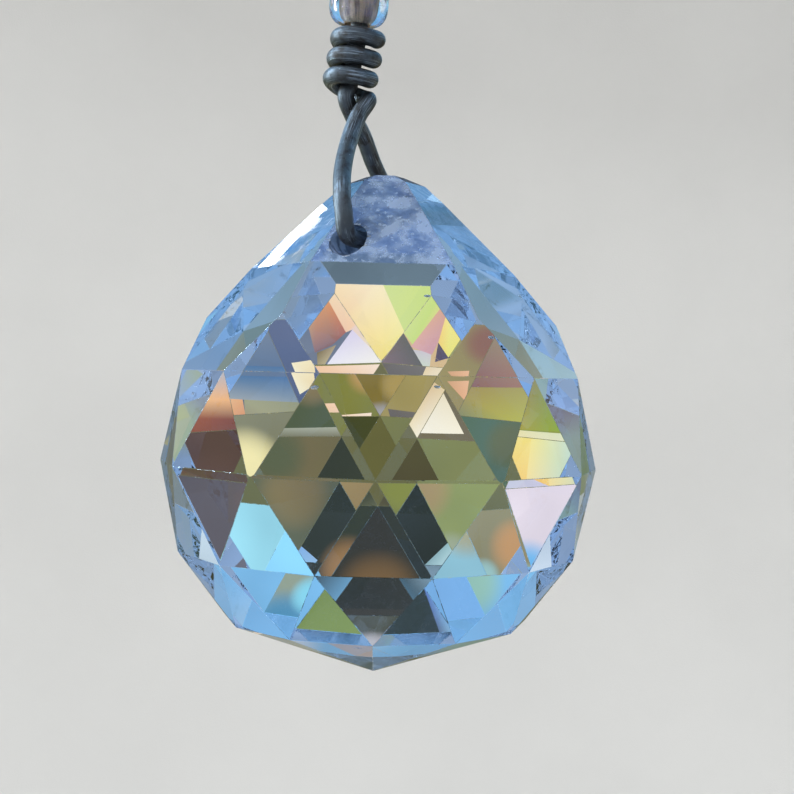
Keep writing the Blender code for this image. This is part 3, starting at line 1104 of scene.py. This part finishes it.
GLOWS = (
    # dark trees straight behind, up against the sky
    Glow(0, 24, 10, 13, (46, 50, 40)),
    Glow(1, 36.5, 2, 4, (86, 90, 72)),
    Glow(0.9, 34.5, 0.2, 1.2, (205, 205, 212)),
    Glow(-2, 43.5, 2.5, 5, (184, 164, 166)),
    Glow(6.8, 37.8, 0.8, 2.4, (180, 174, 194)),
    Glow(-7, 28, 2, 3.5, (48, 60, 60)),
    Glow(8, 28, 1.5, 3, (128, 152, 84)),
    Glow(0, 14, 3, 6, (50, 48, 32)),
    Glow(0.5, 11.7, 0.2, 2.0, (122, 94, 52)),
    Glow(-7, 9.5, 3, 4.5, (34, 40, 26)),
    Glow(7, 9.5, 3, 4.5, (38, 44, 28)),
    Glow(8, 7, 0.4, 1.6, (150, 116, 70)),
    Glow(-6, 17, 0.5, 2, (135, 165, 185)),
    # sky at both sides of them
    Glow(-14.5, 14.5, 1.5, 4, (155, 212, 232)),
    Glow(-14.3, 16.6, 0.3, 1.6, (180, 182, 150)),
    Glow(15, 14.5, 2, 4, (140, 214, 255)),
    Glow(-15, 24.5, 2, 4, (130, 190, 250)),
    Glow(16.3, 24.6, 0.3, 2, (150, 165, 145)),
    Glow(16, 22.6, 0.2, 1.5, (80, 150, 190)),
    Glow(17.2, 23.6, 0.1, 0.9, (140, 225, 250)),
    Glow(-25.6, 19.4, 0.3, 1.6, (155, 205, 190)),
    Glow(24, 10.5, 4, 6, (165, 236, 255)),
    Glow(-24, 11, 3, 5, (145, 142, 108)),
    Glow(-22.6, 10.8, 0.2, 1.3, (200, 154, 100)),
    Glow(-24, 9.6, 0.2, 0.8, (160, 205, 205)),
    Glow(-36, 8, 3.5, 5, (238, 228, 242)),
    Glow(-36, 5.6, 0.2, 1.4, (110, 195, 255)),
    Glow(36, 6.5, 3.5, 5, (84, 78, 88)),
    # leaves round the horizon
    Glow(-14, 5, 3, 6, (150, 164, 96)),
    Glow(-15.8, 6, 0.3, 1.6, (182, 160, 108)),
    Glow(-14.4, 3.4, 0.1, 1.0, (166, 180, 152)),
    Glow(15, 5, 3, 6, (92, 98, 70)),
    Glow(14.4, 5, 0.1, 1.8, (132, 118, 72)),
    Glow(-0.8, 5.2, 0.5, 1.6, (158, 136, 84)),
    Glow(1.2, 5.2, 0.3, 1.4, (138, 146, 62)),
    Glow(-7, 2, 2, 3.5, (78, 70, 20)),
    Glow(7, 2, 2, 3.5, (48, 52, 20)),
    Glow(-14, -3, 3, 6, (124, 130, 76)),
    Glow(14, -3, 3, 6, (112, 102, 62)),
    Glow(13, -3.4, 0.3, 1.6, (88, 96, 60)),
    Glow(0, -3, 2, 4, (104, 102, 54)),
    Glow(-23, -7, 2, 4, (78, 104, 84)),
    Glow(-22, -7, 0.3, 1.2, (92, 100, 64)),
    Glow(22.6, -7.4, 2, 4, (132, 132, 100)),
    Glow(21.8, -9.4, 0.4, 1.8, (250, 240, 176)),
    Glow(-8, -6.5, 1, 3, (122, 126, 78)),
    Glow(8, -6.5, 1, 3, (66, 70, 28)),
    # bright and dark things low down on both sides
    Glow(-34.5, -2.5, 2.5, 4, (255, 240, 150)),
    Glow(34.5, -4.5, 2.5, 4, (84, 62, 52)),
    Glow(-37, -13, 3, 4.5, (150, 162, 60)),
    Glow(-16, -11.5, 2.5, 4, (118, 108, 76)),
    Glow(15, -12.5, 2.5, 4, (78, 90, 52)),
    Glow(15, -11, 0.2, 1.2, (132, 118, 80)),
    Glow(-25, -17, 3, 5, (128, 122, 86)),
    Glow(24, -17.5, 3, 5, (104, 120, 138)),
    Glow(-8, -16, 3, 4.5, (164, 150, 92)),
    Glow(8, -16, 3, 4.5, (128, 130, 58)),
    Glow(8.6, -15, 0.2, 1.2, (190, 150, 90)),
    Glow(0, -21, 3, 4.5, (132, 116, 52)),
    Glow(0.4, -21.2, 0.2, 1.0, (180, 156, 84)),
    Glow(-0.5, -22.8, 0.2, 0.9, (165, 165, 168)),
    Glow(-15, -21, 3, 4.5, (156, 144, 96)),
    Glow(-14.4, -20.4, 0.3, 1.2, (150, 108, 90)),
    Glow(14, -21, 3, 4.5, (92, 106, 142)),
    # the sunlit bank behind, under the leaves
    Glow(-9.5, -27, 3, 4.5, (220, 190, 140)),
    Glow(8, -27, 3, 4.5, (110, 120, 138)),
    Glow(0, -34, 4, 6, (255, 242, 190)),
)

CARDS = (
    # a sunset-coloured board low on the right, and a lemon one facing it on the left
    Card("sunset_top", (
        (34.8, -13, (165, 195, 220)), (37.6, -13, (185, 200, 210)),
        (38, -14.6, (252, 190, 128)), (34.6, -14.6, (252, 200, 145)),
    )),
    Card("sunset_middle", (
        (34.6, -14.6, (252, 200, 145)), (38, -14.6, (252, 190, 128)),
        (38.2, -15.5, (120, 68, 46)), (34.4, -15.4, (175, 96, 60)),
    )),
    Card("sunset_foot", (
        (34.4, -15.4, (175, 96, 60)), (38.2, -15.5, (120, 68, 46)),
        (38.2, -16.8, (84, 54, 44)), (34.4, -16.8, (84, 54, 44)),
    )),
    Card("lemon_left", (
        (-36.4, -1, (255, 235, 120)), (-34.7, -1.2, (255, 242, 150)),
        (-34.9, -3.4, (255, 214, 120)), (-36.2, -3, (250, 180, 80)),
    )),
    Card("lemon_right", (
        (-34.7, -1.2, (255, 242, 150)), (-32.9, -1.6, (205, 240, 235)),
        (-33, -3.6, (190, 225, 215)), (-34.9, -3.4, (255, 232, 160)),
    )),
    Card("lilac_rail", (
        (-37.4, -3.3, (190, 200, 225)), (-34.6, -3, (235, 225, 240)),
        (-33.4, -3.4, (225, 215, 235)), (-37.2, -4.2, (205, 205, 230)),
    )),
    Card("lime_leaf", (
        (-36.9, -11.2, (150, 142, 110)), (-35.7, -14, (140, 182, 60)),
        (-38.6, -13.9, (185, 160, 36)),
    )),
    Card("cream_foot", (
        (-38.8, -13.9, (250, 236, 170)), (-35.5, -14.1, (225, 240, 205)),
        (-35.5, -15, (240, 240, 215)), (-38.8, -15, (240, 225, 170)),
    )),
    # gables and walls in the middle distance
    Card("rose_gable", (
        (-24.9, -14, (150, 140, 110)), (-23.3, -16.2, (165, 125, 108)),
        (-26.3, -16.1, (138, 98, 96)),
    )),
    Card("moss_wall", (
        (-26.8, -16.1, (165, 142, 80)), (-23.1, -16.2, (172, 166, 92)),
        (-23, -18.3, (192, 198, 80)), (-26.8, -18.3, (96, 130, 104)),
    )),
    Card("slate_gable", (
        (24.2, -15.1, (125, 136, 152)), (25.8, -17.1, (96, 116, 148)),
        (22.5, -17.1, (98, 124, 156)),
    )),
    Card("blue_wall", (
        (22.3, -17.1, (80, 122, 166)), (25.9, -17.1, (74, 114, 162)),
        (25.9, -18.2, (140, 156, 168)), (22.3, -18.1, (160, 170, 178)),
    )),
    Card("straw_wall", (
        (23.2, -18.1, (165, 166, 130)), (25.9, -18.2, (150, 152, 116)),
        (25.8, -19.5, (165, 162, 120)), (23.5, -19.5, (150, 140, 114)),
    )),
    Card("ember_post", (
        (22.1, -17.6, (252, 206, 156)), (22.9, -17.4, (248, 196, 144)),
        (23.6, -19.5, (205, 130, 88)), (22.5, -19.5, (245, 150, 86)),
    )),
    Card("cream_gable", (
        (-15.6, -10.5, (240, 228, 196)), (-14.8, -12.3, (255, 248, 222)),
        (-17.3, -12.3, (255, 252, 238)),
    )),
    Card("pale_sill", (
        (13.1, -12.9, (160, 166, 146)), (16.9, -12.9, (176, 180, 160)),
        (16.9, -13.3, (130, 128, 104)), (13.1, -13.3, (112, 112, 80)),
    )),
    Card("cream_window", (
        (14.4, -22.2, (252, 242, 205)), (15.3, -22, (252, 236, 190)),
        (15.4, -22.7, (245, 225, 175)), (14.8, -23.2, (252, 246, 215)),
    )),
    Card("peach_window", (
        (-16.2, -21.6, (215, 168, 128)), (-15.3, -21.6, (242, 192, 152)),
        (-15.5, -22.6, (238, 182, 140)),
    )),
    Card("cream_post", (
        (-6.7, -15.5, (225, 196, 146)), (-6.2, -15.9, (236, 216, 172)),
        (-7.4, -18.3, (255, 252, 232)), (-7.9, -17.6, (246, 232, 192)),
    )),
    Card("white_rail", (
        (5.5, -16.95, (250, 205, 165)), (8.8, -16.8, (255, 236, 216)),
        (8.8, -17.3, (250, 225, 200)), (5.4, -17.35, (240, 200, 160)),
    )),
    Card("grey_rail", (
        (-9.5, -16.2, (110, 104, 98)), (-6.2, -16.5, (128, 122, 112)),
        (-6.3, -16.95, (120, 116, 110)), (-9.4, -16.7, (104, 98, 94)),
    )),
    Card("blue_tip_left", (
        (-5.3, 8.6, (150, 190, 195)), (-4.7, 8.3, (190, 226, 232)),
        (-5.7, 7.1, (190, 226, 235)), (-6.3, 7.6, (140, 176, 186)),
    )),
    Card("blue_tip_right", (
        (5.4, 8.4, (120, 172, 236)), (6.5, 7.4, (150, 190, 230)),
        (6.1, 6.9, (150, 200, 240)), (5.2, 7.6, (140, 192, 250)),
    )),
    Card("sky_gap", (
        (-6.5, 29.3, (96, 134, 215)), (-6, 29.1, (120, 170, 250)),
        (-4.7, 27, (155, 210, 245)), (-5.6, 27, (96, 116, 146)),
    )),
    # bright patches of the sunlit bank
    Card("bank_peach", (
        (-4.6, -31.8, (252, 226, 184)), (-1, -31.8, (254, 240, 206)),
        (0.2, -34.4, (253, 243, 160)), (-1, -35.8, (253, 232, 130)),
        (-2.4, -34.2, (252, 228, 170)), (-4.6, -35, (245, 190, 135)),
    )),
    Card("bank_white", (
        (-4.6, -37, (250, 250, 253)), (-2.4, -34.2, (224, 212, 238)),
        (-1, -35.8, (250, 250, 240)), (-1, -37, (253, 252, 238)),
    )),
    Card("bank_lime", (
        (-1, -31.8, (214, 230, 150)), (2.8, -31.8, (206, 230, 124)),
        (2.6, -32.6, (204, 228, 126)), (0.5, -34.9, (206, 226, 130)),
        (0.2, -34.4, (212, 230, 140)),
    )),
    Card("bank_dark", (
        (-1, -35.8, (126, 110, 112)), (0.2, -34.4, (104, 102, 92)),
        (1.3, -36.6, (98, 96, 88)), (-1, -36.6, (122, 104, 108)),
    )),
    Card("bank_pink", (
        (2.6, -32.5, (222, 172, 140)), (1.9, -34.8, (218, 168, 160)),
        (1.5, -35.4, (212, 166, 176)), (0.5, -35.1, (226, 176, 172)),
    )),
    Card("near_orange", (
        (5.9, -25.1, (254, 205, 135)), (6.9, -25.1, (252, 175, 100)),
        (8.5, -27.1, (178, 108, 92)), (7.9, -27.6, (138, 110, 112)),
        (7.1, -27.9, (140, 112, 116)),
    )),
    Card("near_peach", (
        (6.9, -25.1, (252, 226, 184)), (10.8, -25.1, (254, 240, 206)),
        (10.8, -28.3, (250, 238, 190)), (10.4, -28.2, (250, 236, 180)),
        (8.8, -27, (238, 214, 205)), (8.5, -27.1, (248, 205, 170)),
    )),
    Card("near_white", (
        (7.3, -29, (250, 250, 253)), (8.8, -27, (222, 214, 240)),
        (10.4, -28.2, (250, 246, 238)), (10.8, -29, (253, 252, 240)),
    )),
    Card("near_olive", (
        (7.2, -27.9, (130, 115, 76)), (8.1, -27.6, (176, 160, 130)),
        (7.4, -28.9, (200, 190, 150)),
    )),
    Card("far_lime", (
        (-11.6, -24.7, (212, 230, 150)), (-8, -24.4, (206, 230, 124)),
        (-7.9, -25, (230, 225, 140)), (-10.2, -27.1, (206, 226, 130)),
        (-10.6, -26.6, (214, 230, 145)),
    )),
    Card("far_pink", (
        (-7.9, -25, (224, 172, 130)), (-8.9, -27, (216, 168, 160)),
        (-9.3, -27.5, (210, 164, 178)), (-10.3, -27.2, (228, 178, 170)),
    )),
    Card("far_yellow", (
        (-7.9, -24.9, (254, 240, 160)), (-6.9, -25.9, (254, 232, 130)),
        (-8.5, -27.6, (240, 235, 120)), (-8.9, -27, (250, 215, 115)),
    )),
    Card("far_dark", (
        (-12, -27.8, (134, 112, 114)), (-10.6, -26.6, (106, 104, 94)),
        (-9.6, -28.4, (98, 96, 88)), (-12, -28.4, (122, 104, 108)),
    )),
    Card("far_mint", (
        (-10.3, -27.3, (205, 200, 205)), (-9.3, -27.4, (214, 205, 212)),
        (-9.6, -28.3, (210, 228, 200)),
    )),
    Card("far_navy", (
        (-8.9, -27, (100, 84, 92)), (-8.4, -27.6, (84, 74, 94)),
        (-9.2, -27.8, (92, 84, 108)),
    )),
    Card("far_olive", (
        (-6.9, -25.9, (160, 150, 90)), (-6.2, -28.4, (120, 110, 80)),
        (-9, -28.4, (150, 150, 110)), (-8.5, -27.6, (160, 165, 95)),
    )),
)


CARD_DISTANCE = 30.0  # far enough that every facet sees a card in the same direction
PALENESS = 0.25  # of the three gardens that aren't straight behind
PALE_COLOR = (150, 172, 200)
PAPER_SHADE = 0.965  # how dark the paper's darker patches are, for each unit of its colour
CALM_DEPTH = 5.5  # light that has turned more often than this inside the crystal
CALM_COLOR = (126, 168, 226)  # comes from the open sky
CALMNESS = 0.85
SHADED = (0.89, 0.93)  # the shade straight above and below stays dark: sines of where it starts and is full


def aim(azimuth, elevation):
    """Direction for an azimuth from straight behind the suncatcher towards the right, in degrees."""
    turn, rise = math.radians(azimuth), math.radians(elevation)
    return Vector((math.sin(turn) * math.cos(rise), math.cos(turn) * math.cos(rise), math.sin(rise)))


def linear(color):
    """Turns red, green and blue from 0 to 255 into the linear values that shaders take."""
    shares = [value / 255.0 for value in color]
    return [share / 12.92 if share <= 0.04045 else ((share + 0.055) / 1.055) ** 2.4 for share in shares]


def add_glows(tree, toward, color, glows):
    """Lays soft patches over a colour, each in its own direction."""
    for glow in glows:
        inputs = {0: toward, 1: aim(glow.azimuth, glow.elevation)}
        level = add_node(tree, "ShaderNodeVectorMath", inputs, operation="DOT_PRODUCT").outputs["Value"]
        low, high = math.cos(math.radians(glow.edge)), math.cos(math.radians(glow.core))
        color = blend(tree, soft_step(tree, level, low, high), color, (*linear(glow.color), 1.0))
    return color


def quarter_turned(tree, toward):
    """Turns a direction by quarter turns until it points within 45 degrees of straight behind.

    Gives the turned direction, and 1 where it took no turn.
    """
    parts = add_node(tree, "ShaderNodeSeparateXYZ", {"Vector": toward}).outputs
    x, y = parts["X"], parts["Y"]
    to_side = calculate(tree, "GREATER_THAN", calculate(tree, "ABSOLUTE", x), calculate(tree, "ABSOLUTE", y))
    leading = add_node(tree, "ShaderNodeMix", {0: to_side, 2: y, 3: x}, data_type="FLOAT").outputs[0]
    across = calculate(tree, "MULTIPLY", y, -1.0)
    trailing = add_node(tree, "ShaderNodeMix", {0: to_side, 2: x, 3: across}, data_type="FLOAT").outputs[0]
    way = calculate(tree, "SIGN", leading)
    turned = {"X": calculate(tree, "MULTIPLY", trailing, way), "Y": calculate(tree, "MULTIPLY", leading, way)}
    turned["Z"] = parts["Z"]
    straight = calculate(tree, "GREATER_THAN", y, calculate(tree, "ABSOLUTE", x))
    return add_node(tree, "ShaderNodeCombineXYZ", turned).outputs["Vector"], straight


def calmed(tree, color, height=0.0):
    """A colour of the surroundings, mostly plain sky where light comes after many turns inside the crystal.

    Without it, the rim of the crystal breaks up into specks. Height is the sine of the way's elevation.
    """
    depth = add_node(tree, "ShaderNodeLightPath").outputs["Ray Depth"]
    shaded = soft_step(tree, calculate(tree, "ABSOLUTE", height), *SHADED)
    share = calculate(tree, "MULTIPLY_ADD", shaded, -CALMNESS, CALMNESS)
    deep = calculate(tree, "MULTIPLY", calculate(tree, "GREATER_THAN", depth, CALM_DEPTH), share)
    return blend(tree, deep, color, (*linear(CALM_COLOR), 1.0))


def make_surroundings(scene):
    """The coloured surroundings that only glass and metal see: a garden on each of the four sides.

    The one straight behind has its full colours, and the other three are paler.
    """
    world = bpy.data.worlds.new("surroundings")
    world.use_nodes = True
    world.cycles.sampling_method = "NONE"
    tree = world.node_tree
    background = tree.nodes["Background"]
    toward = add_node(tree, "ShaderNodeTexCoord").outputs["Generated"]
    height = add_node(tree, "ShaderNodeSeparateXYZ", {"Vector": toward}).outputs["Z"]
    share = add_node(tree, "ShaderNodeMapRange", {"Value": height, "From Min": -1.0, "From Max": 1.0})
    ramp = add_node(tree, "ShaderNodeValToRGB", {"Fac": share.outputs["Result"]})
    stops = ramp.color_ramp.elements
    while len(stops) < len(BASE_STOPS):
        stops.new(0.5)
    for stop, (elevation, color) in zip(stops, BASE_STOPS):
        stop.position = (math.sin(math.radians(elevation)) + 1.0) / 2.0
        stop.color = (*linear(color), 1.0)
    far = add_glows(tree, toward, ramp.outputs["Color"], FAR_GLOWS)
    turned, straight = quarter_turned(tree, toward)
    garden = add_glows(tree, turned, far, GLOWS)
    pale = calculate(tree, "MULTIPLY_ADD", straight, -PALENESS, PALENESS)
    color = blend(tree, pale, garden, (*linear(PALE_COLOR), 1.0))
    inputs = {"Vector": toward, "Scale": 9.0, "Detail": 2.0, "Roughness": 0.55}
    leaves = add_node(tree, "ShaderNodeTexNoise", inputs).outputs["Fac"]
    shade = add_node(
        tree,
        "ShaderNodeMapRange",
        {"Value": leaves, "From Min": 0.3, "From Max": 0.7, "To Min": 0.78, "To Max": 1.18},
    )
    tree.links.new(calmed(tree, color, height), background.inputs["Color"])
    tree.links.new(shade.outputs["Result"], background.inputs["Strength"])
    scene.world = world


def card_material():
    """Glows with the colour stored at each corner."""
    material = bpy.data.materials.new("card_light")
    material.use_nodes = True
    material.cycles.emission_sampling = "NONE"
    tree = material.node_tree
    tree.nodes.clear()
    color = add_node(tree, "ShaderNodeVertexColor", layer_name="Corner color").outputs["Color"]
    light = add_node(tree, "ShaderNodeEmission", {"Color": calmed(tree, color)})
    output = add_node(tree, "ShaderNodeOutputMaterial")
    tree.links.new(light.outputs["Emission"], output.inputs["Surface"])
    return material


def make_cards():
    """The sharp-edged colours of the surroundings, far off, each card a little behind the one before it.

    Like the rest of the garden, they are there on all four sides, and paler on three.
    """
    builder = bmesh.new()
    colors = builder.loops.layers.float_color.new("Corner color")
    for turn in (0, 90, 180, 270):
        pale = PALENESS if turn else 0.0
        for index, card in enumerate(CARDS):
            reach = CARD_DISTANCE * (1.0 + 0.001 * index)
            spots = []
            for azimuth, elevation, color in card.corners:
                spots.append(BALL_CENTRE + aim(azimuth + turn, elevation) * reach)
            face = builder.faces.new([builder.verts.new(spot) for spot in spots])
            for loop, (azimuth, elevation, color) in zip(face.loops, card.corners):
                mixed = Vector(linear(color)).lerp(Vector(linear(PALE_COLOR)), pale)
                loop[colors] = (*mixed, 1.0)
    cards = link_piece("cards", mesh_from("cards", builder), card_material())
    cards.visible_camera = False
    cards.visible_diffuse = False
    cards.visible_shadow = False


def paper_material(settings):
    """Thick matt paper with a soft tooth and a slightly uneven tone."""
    material, tree, shader = new_material("pale_paper")
    place = in_millimetres(tree)
    tone = effect(tree, "Mottle", place, Size=90.0, Low=0.30, High=0.70)
    tooth = effect(tree, "Mottle", place, Size=0.7, Low=0.30, High=0.70)
    shade = [value * PAPER_SHADE for value in settings.paper]
    tree.links.new(blend(tree, tone, (*settings.paper, 1.0), (*shade, 1.0)), shader.inputs["Base Color"])
    tree.links.new(calculate(tree, "MULTIPLY_ADD", tooth, 0.08, 0.86), shader.inputs["Roughness"])
    emboss(tree, shader, tooth, 0.02 * MM)
    return material


COVE = 0.18  # radius of the curve from the floor up into the backdrop
WALL_HEIGHT = 0.75
VAULT_RISE = 0.6  # height of the vault overhead, for each unit of the room's radius
ARC_STEPS = 12
ROOM_SIDES = 96


def make_room(settings):
    """A round room: a flat floor that curves up into the backdrop all the way round and closes overhead."""
    floor = BALL_CENTRE.z - settings.drop
    reach = settings.room_radius
    quarter = [math.pi / 2 * step / ARC_STEPS for step in range(1, ARC_STEPS + 1)]
    profile = [(0.0, floor), (reach * 0.35, floor), (reach - COVE, floor)]
    for angle in quarter:
        profile.append((reach - COVE + COVE * math.sin(angle), floor + COVE * (1.0 - math.cos(angle))))
    for angle in quarter:
        profile.append((reach * math.cos(angle), floor + WALL_HEIGHT + reach * VAULT_RISE * math.sin(angle)))
    builder = bmesh.new()
    rings = []
    for radius, height in profile[1:-1]:
        ring = []
        for index in range(ROOM_SIDES):
            turn = math.tau * index / ROOM_SIDES
            ring.append(builder.verts.new((radius * math.cos(turn), radius * math.sin(turn), height)))
        rings.append(ring)
    low = builder.verts.new((0.0, 0.0, profile[0][1]))
    high = builder.verts.new((0.0, 0.0, profile[-1][1]))
    for index in range(ROOM_SIDES):
        after = (index + 1) % ROOM_SIDES
        builder.faces.new((low, rings[0][index], rings[0][after]))
        builder.faces.new((rings[-1][after], rings[-1][index], high))
        for lower, upper in zip(rings, rings[1:]):
            builder.faces.new((lower[after], lower[index], upper[index], upper[after]))
    room = link_piece("room", mesh_from("room", builder), paper_material(settings))
    room.data.shade_smooth()
    room.visible_glossy = False
    room.visible_transmission = False


class Softbox(NamedTuple):
    """A soft light that faces the suncatcher. Angles are in degrees and sizes in metres.

    One that lights shines on dull surfaces. One that is mirrored shows up as a bright shape in the facets
    and along the wire. None is seen through the glass.
    """

    name: str
    azimuth: float
    elevation: float
    width: float
    height: float
    turn: float
    power: float
    color: tuple
    lights: bool
    mirrored: bool


LIGHT_DISTANCE = 0.45
SOFTBOXES = (
    Softbox("key_light", -140, 42, 0.30, 0.30, 0, 3.16, (1.0, 0.98, 0.95), True, False),
    Softbox("fill_light", 130, 20, 0.34, 0.34, 0, 1.64, (0.92, 0.96, 1.0), True, False),
    Softbox("back_light", 20, 55, 0.30, 0.30, 0, 1.88, (0.95, 0.98, 1.0), True, False),
    Softbox("sky_sheet", -140, 42, 0.30, 0.30, 0, 1.5, (0.72, 0.86, 1.0), False, True),
    Softbox("sky_strip", -76, 8, 0.06, 0.26, 0, 1.6, (0.55, 0.76, 1.0), False, True),
    Softbox("sky_upper", -80, 40, 0.07, 0.16, 0, 1.5, (0.50, 0.72, 1.0), False, True),
    Softbox("sky_edge", 27, 28, 0.050, 0.010, 45, 0.0022, (0.55, 0.80, 1.0), False, True),
    Softbox("edge_strip", -26.7, 28, 0.042, 0.0032, 135, 0.0055, (1.0, 0.99, 0.97), False, True),
)


def make_lights():
    for box in SOFTBOXES:
        data = bpy.data.lights.new(box.name, "AREA")
        data.shape = "RECTANGLE"
        data.size = box.width
        data.size_y = box.height
        data.energy = box.power
        data.color = box.color
        light = bpy.data.objects.new(box.name, data)
        bpy.context.scene.collection.objects.link(light)
        toward = aim(box.azimuth, box.elevation)
        light.location = BALL_CENTRE + toward * LIGHT_DISTANCE
        light.rotation_mode = "QUATERNION"
        roll = Quaternion((0.0, 0.0, 1.0), math.radians(box.turn))
        light.rotation_quaternion = toward.to_track_quat("Z", "Y") @ roll
        light.visible_camera = False
        light.visible_diffuse = box.lights
        light.visible_glossy = box.mirrored
        light.visible_transmission = False


CAMERA_PAN = 1.3 * MM  # the camera looks this far to the right of the ball's centre
CAMERA_LIFT = 4.58 * MM  # and this far over it, square to its line of sight


def make_camera(scene, settings):
    data = bpy.data.cameras.new("camera")
    data.lens = settings.lens
    data.sensor_width = 36.0
    data.clip_start = 0.005
    data.clip_end = 10.0
    camera = bpy.data.objects.new("camera", data)
    scene.collection.objects.link(camera)
    rise = settings.camera_elevation
    back = Vector((0.0, -math.cos(rise), math.sin(rise)))
    up = Vector((0.0, math.sin(rise), math.cos(rise)))
    camera.location = BALL_CENTRE + back * settings.camera_distance
    target = BALL_CENTRE + Vector((CAMERA_PAN, 0.0, 0.0)) + up * CAMERA_LIFT
    camera.rotation_mode = "QUATERNION"
    camera.rotation_quaternion = (camera.location - target).to_track_quat("Z", "Y")
    scene.camera = camera


MOST_TURNS = 24  # of a ray of light inside the crystal
MOST_MIRRORED = 20
MOST_SCATTERED = 2  # between the walls of the room


class SUNCATCHER_OT_stage(bpy.types.Operator):
    """Set up the pale room, the soft lights, the surroundings that the glass sees, and the camera"""

    bl_idname = "suncatcher.stage"
    bl_label = "Stage"

    def execute(self, context):
        scene = context.scene
        settings = scene.suncatcher_stage
        make_room(settings)
        make_surroundings(scene)
        make_cards()
        make_lights()
        make_camera(scene, settings)
        scene.view_settings.view_transform = "Standard"
        scene.cycles.max_bounces = MOST_TURNS
        scene.cycles.diffuse_bounces = MOST_SCATTERED
        scene.cycles.glossy_bounces = MOST_MIRRORED
        scene.cycles.transmission_bounces = MOST_TURNS
        return {"FINISHED"}


# ---------------------------------------------------------------- panel and registration


class SUNCATCHER_PT_panel(bpy.types.Panel):
    """Lists the pieces of the suncatcher and what can be changed on each"""

    bl_idname = "SUNCATCHER_PT_panel"
    bl_label = "Crystal Suncatcher"
    bl_space_type = "VIEW_3D"
    bl_region_type = "UI"
    bl_category = "Suncatcher"

    def draw(self, context):
        for operator, settings_name in (
            (SUNCATCHER_OT_stage, "suncatcher_stage"),
            (SUNCATCHER_OT_crystal, "suncatcher_crystal"),
            (SUNCATCHER_OT_wire, "suncatcher_wire"),
            (SUNCATCHER_OT_bead, "suncatcher_bead"),
        ):
            box = self.layout.box()
            settings = getattr(context.scene, settings_name)
            for name in settings.__annotations__:
                box.prop(settings, name)
            box.operator(operator.bl_idname)


SETTINGS = {
    "suncatcher_crystal": CrystalSettings,
    "suncatcher_wire": WireSettings,
    "suncatcher_bead": BeadSettings,
    "suncatcher_stage": StageSettings,
}
CLASSES = (
    *SETTINGS.values(),
    SUNCATCHER_OT_stage,
    SUNCATCHER_OT_crystal,
    SUNCATCHER_OT_wire,
    SUNCATCHER_OT_bead,
    SUNCATCHER_PT_panel,
)


def register():
    for item in CLASSES:
        bpy.utils.register_class(item)
    for name, group in SETTINGS.items():
        setattr(bpy.types.Scene, name, PointerProperty(type=group))


def unregister():
    for name in SETTINGS:
        delattr(bpy.types.Scene, name)
    for item in reversed(CLASSES):
        bpy.utils.unregister_class(item)


def main():
    register()
    bpy.ops.suncatcher.stage()
    bpy.ops.suncatcher.crystal()
    bpy.ops.suncatcher.wire()
    bpy.ops.suncatcher.bead()


if __name__ == "__main__":
    main()
